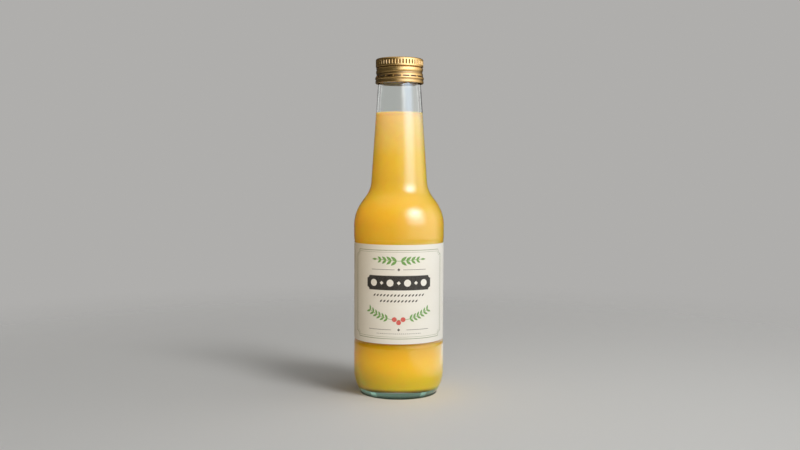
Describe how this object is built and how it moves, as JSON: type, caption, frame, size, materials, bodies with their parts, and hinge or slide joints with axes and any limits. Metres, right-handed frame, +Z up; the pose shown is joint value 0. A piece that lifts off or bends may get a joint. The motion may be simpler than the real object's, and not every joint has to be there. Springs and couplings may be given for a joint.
{
  "type": "juice bottle",
  "caption": "Small long-necked clear glass bottle of cloudy yellow juice, shut with a gold roll-on metal cap and wrapped in a pale paper label. Stands on its foot.",
  "frame": {"origin": "middle of the foot, on the plane the bottle stands on", "axes": "+Z up along the bottle's axis to the cap, -Y towards the middle of the label's front, +X to the right seen from the front"},
  "size_m": [0.0552, 0.0552, 0.2044],
  "materials": {
    "clear_glass": "gloss",
    "cloudy_juice": "satin",
    "gold_aluminium": "satin",
    "label_paper": "matte"
  },
  "bodies": {
    "root": {"glass_bottle": "clear_glass", "juice": "cloudy_juice", "cap": "gold_aluminium", "label": "label_paper"}
  },
  "joints": []
}
